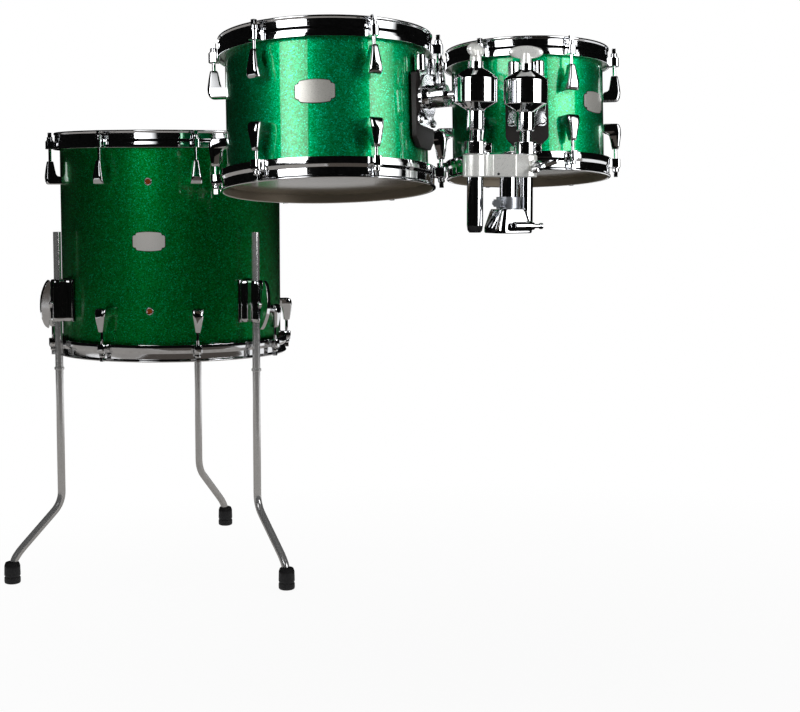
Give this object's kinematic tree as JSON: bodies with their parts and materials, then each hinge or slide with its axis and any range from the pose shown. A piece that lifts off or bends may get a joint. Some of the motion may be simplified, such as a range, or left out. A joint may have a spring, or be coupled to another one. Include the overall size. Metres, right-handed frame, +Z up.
{
  "type": "tom-tom set",
  "caption": "Rack toms on an adjustable ball-clamp holder and a standing floor tom with bent legs; sparkle lacquer shells, die-cast hoops and hook-shaped tension lugs.",
  "frame": {"origin": "underside of the holder base on the axis of the holder post", "axes": "+Z up, -Y towards the audience, +Y towards the player, +X to the right as the audience sees it"},
  "size_m": [0.9189, 1.1539, 0.9548],
  "materials": {
    "floor_shell": "green sparkle gloss lacquer",
    "floor_top_head": "coated film",
    "floor_bottom_head": "clear film, grey-brown in the shade",
    "floor_top_hoop": "polished chrome",
    "floor_bottom_hoop": "polished chrome",
    "floor_badge": "satin nickel, bare",
    "floor_vent_1": "plated eyelet",
    "floor_vent_2": "plated eyelet",
    "floor_leg_bracket_a": "polished chrome",
    "floor_leg_bracket_b": "polished chrome",
    "floor_leg_bracket_c": "polished chrome",
    "tom12_shell": "green sparkle gloss lacquer",
    "tom12_top_head": "coated film",
    "tom12_bottom_head": "clear film, grey-brown in the shade",
    "tom12_top_hoop": "polished chrome",
    "tom12_bottom_hoop": "polished chrome",
    "tom12_badge": "satin nickel, bare",
    "tom12_mount_plate": "dark grey satin",
    "tom12_rod_bracket": "polished chrome",
    "tom10_shell": "green sparkle gloss lacquer",
    "tom10_top_head": "coated film",
    "tom10_bottom_head": "clear film, grey-brown in the shade",
    "tom10_top_hoop": "polished chrome",
    "tom10_bottom_hoop": "polished chrome",
    "tom10_badge": "satin nickel, bare",
    "tom10_mount_plate": "dark grey satin",
    "tom10_rod_bracket": "polished chrome",
    "floor_leg_a": "polished chrome",
    "floor_foot_a": "black rubber",
    "floor_leg_bolt_a": "polished chrome",
    "floor_leg_b": "polished chrome",
    "floor_foot_b": "black rubber",
    "floor_leg_bolt_b": "polished chrome",
    "floor_leg_c": "polished chrome",
    "floor_foot_c": "black rubber",
    "floor_leg_bolt_c": "polished chrome",
    "tom12_rod_screw": "polished chrome",
    "tom10_rod_screw": "polished chrome",
    "holder_base": "polished chrome",
    "base_bolt": "polished chrome",
    "holder_post": "polished chrome",
    "post_collar": "satin casting",
    "holder_block": "satin casting",
    "block_bolt": "polished chrome",
    "left_arm_rod": "polished chrome",
    "left_arm_cap": "black rubber",
    "left_arm_collar": "polished chrome",
    "left_ball_clamp": "polished chrome",
    "left_wing_nut": "polished chrome",
    "left_l_rod": "polished chrome",
    "right_arm_rod": "polished chrome",
    "right_arm_cap": "black rubber",
    "right_arm_collar": "polished chrome",
    "right_ball_clamp": "polished chrome",
    "right_wing_nut": "polished chrome",
    "right_l_rod": "polished chrome"
  },
  "bodies": {
    "base": {"holder_base": "holder_base"},
    "floor_tom": {"floor_shell": "floor_shell", "floor_top_head": "floor_top_head", "floor_bottom_head": "floor_bottom_head", "floor_top_hoop": "floor_top_hoop", "floor_bottom_hoop": "floor_bottom_hoop", "floor_badge": "floor_badge", "floor_vent_1": "floor_vent_1", "floor_vent_2": "floor_vent_2", "floor_leg_bracket_a": "floor_leg_bracket_a", "floor_leg_bracket_b": "floor_leg_bracket_b", "floor_leg_bracket_c": "floor_leg_bracket_c"},
    "tom12": {"tom12_shell": "tom12_shell", "tom12_top_head": "tom12_top_head", "tom12_bottom_head": "tom12_bottom_head", "tom12_top_hoop": "tom12_top_hoop", "tom12_bottom_hoop": "tom12_bottom_hoop", "tom12_badge": "tom12_badge", "tom12_mount_plate": "tom12_mount_plate", "tom12_rod_bracket": "tom12_rod_bracket"},
    "tom10": {"tom10_shell": "tom10_shell", "tom10_top_head": "tom10_top_head", "tom10_bottom_head": "tom10_bottom_head", "tom10_top_hoop": "tom10_top_hoop", "tom10_bottom_hoop": "tom10_bottom_hoop", "tom10_badge": "tom10_badge", "tom10_mount_plate": "tom10_mount_plate", "tom10_rod_bracket": "tom10_rod_bracket"},
    "leg_a": {"floor_leg_a": "floor_leg_a", "floor_foot_a": "floor_foot_a"},
    "leg_bolt_a": {"floor_leg_bolt_a": "floor_leg_bolt_a"},
    "leg_b": {"floor_leg_b": "floor_leg_b", "floor_foot_b": "floor_foot_b"},
    "leg_bolt_b": {"floor_leg_bolt_b": "floor_leg_bolt_b"},
    "leg_c": {"floor_leg_c": "floor_leg_c", "floor_foot_c": "floor_foot_c"},
    "leg_bolt_c": {"floor_leg_bolt_c": "floor_leg_bolt_c"},
    "tom12_screw": {"tom12_rod_screw": "tom12_rod_screw"},
    "tom10_screw": {"tom10_rod_screw": "tom10_rod_screw"},
    "base_bolt": {"base_bolt": "base_bolt"},
    "post": {"holder_post": "holder_post", "post_collar": "post_collar"},
    "block": {"holder_block": "holder_block"},
    "block_bolt": {"block_bolt": "block_bolt"},
    "left_arm": {"left_arm_rod": "left_arm_rod", "left_arm_cap": "left_arm_cap", "left_arm_collar": "left_arm_collar", "left_ball_clamp": "left_ball_clamp"},
    "left_wing_nut": {"left_wing_nut": "left_wing_nut"},
    "left_l_rod": {"left_l_rod": "left_l_rod"},
    "right_arm": {"right_arm_rod": "right_arm_rod", "right_arm_cap": "right_arm_cap", "right_arm_collar": "right_arm_collar", "right_ball_clamp": "right_ball_clamp"},
    "right_wing_nut": {"right_wing_nut": "right_wing_nut"},
    "right_l_rod": {"right_l_rod": "right_l_rod"}
  },
  "joints": [
    {"name": "base_bolt_turn", "type": "hinge", "parent": "base", "child": "base_bolt", "pos_m": [0.0193, -0.0325, 0.0105], "axis": [1, 0, 0], "continuous": true},
    {"name": "post_height", "type": "slide", "parent": "base", "child": "post", "axis": [0, 0, 1], "range_m": [0, 0.02]},
    {"name": "block_swivel", "type": "hinge", "parent": "post", "child": "block", "pos_m": [0, 0, 0.1], "axis": [0, 0, 1], "range_deg": [-25, 25]},
    {"name": "block_bolt_turn", "type": "hinge", "parent": "block", "child": "block_bolt", "pos_m": [0.047, -0.0003, 0.0985], "axis": [0, -1, 0], "continuous": true},
    {"name": "left_arm_swivel", "type": "hinge", "parent": "block", "child": "left_arm", "pos_m": [-0.043, 0.023, 0.1], "axis": [0, 0, 1], "range_deg": [-5, 20]},
    {"name": "left_wing_nut_turn", "type": "hinge", "parent": "left_arm", "child": "left_wing_nut", "pos_m": [-0.043, 0.023, 0.25], "axis": [0, 0, 1], "continuous": true},
    {"name": "left_ball_tilt", "type": "hinge", "parent": "left_arm", "child": "left_l_rod", "pos_m": [-0.043, 0.023, 0.205], "axis": [0.7627, 0.6387, -0.1021], "range_deg": [-8, 8]},
    {"name": "tom12_rod_slide", "type": "slide", "parent": "left_l_rod", "child": "tom12", "axis": [-0.6458, 0.7605, -0.0671], "range_m": [-0.003, 0.012]},
    {"name": "tom12_rod_screw_turn", "type": "hinge", "parent": "tom12", "child": "tom12_screw", "pos_m": [-0.07697, 0.06573, 0.21858], "axis": [0.0347, 0.1171, 0.9925], "continuous": true},
    {"name": "right_arm_swivel", "type": "hinge", "parent": "block", "child": "right_arm", "pos_m": [0.043, 0.023, 0.1], "axis": [0, 0, 1], "range_deg": [-20, 5]},
    {"name": "right_wing_nut_turn", "type": "hinge", "parent": "right_arm", "child": "right_wing_nut", "pos_m": [0.043, 0.023, 0.25], "axis": [0, 0, 1], "continuous": true},
    {"name": "right_ball_tilt", "type": "hinge", "parent": "right_arm", "child": "right_l_rod", "pos_m": [0.043, 0.023, 0.2125], "axis": [0.8441, -0.5358, 0.0224], "range_deg": [-8, 8]},
    {"name": "tom10_rod_slide", "type": "slide", "parent": "right_l_rod", "child": "tom10", "axis": [0.5351, 0.8388, -0.1001], "range_m": [-0.003, 0.012]},
    {"name": "tom10_rod_screw_turn", "type": "hinge", "parent": "tom10", "child": "tom10_screw", "pos_m": [0.12998, 0.16006, 0.21355], "axis": [0.0348, 0.0965, 0.9947], "continuous": true},
    {"name": "floor_tom_lift", "type": "slide", "parent": "base", "child": "floor_tom", "axis": [0, 0, 1], "range_m": [0, 0.3]},
    {"name": "leg_a_height", "type": "slide", "parent": "floor_tom", "child": "leg_a", "axis": [0, 0, 1], "range_m": [-0.05, 0.08]},
    {"name": "leg_bolt_a_turn", "type": "hinge", "parent": "floor_tom", "child": "leg_bolt_a", "pos_m": [-0.46088, 0.82652, -0.1421], "axis": [-0.9957, -0.0924, 0], "continuous": true},
    {"name": "leg_b_height", "type": "slide", "parent": "floor_tom", "child": "leg_b", "axis": [0, 0, 1], "range_m": [-0.05, 0.08]},
    {"name": "leg_bolt_b_turn", "type": "hinge", "parent": "floor_tom", "child": "leg_bolt_b", "pos_m": [-0.13474, 0.62783, -0.1421], "axis": [0.3746, -0.9272, 0], "continuous": true},
    {"name": "leg_c_height", "type": "slide", "parent": "floor_tom", "child": "leg_c", "axis": [0, 0, 1], "range_m": [-0.05, 0.08]},
    {"name": "leg_bolt_c_turn", "type": "hinge", "parent": "floor_tom", "child": "leg_bolt_c", "pos_m": [-0.09778, 1.05034, -0.1421], "axis": [0.5299, 0.848, 0], "continuous": true}
  ]
}
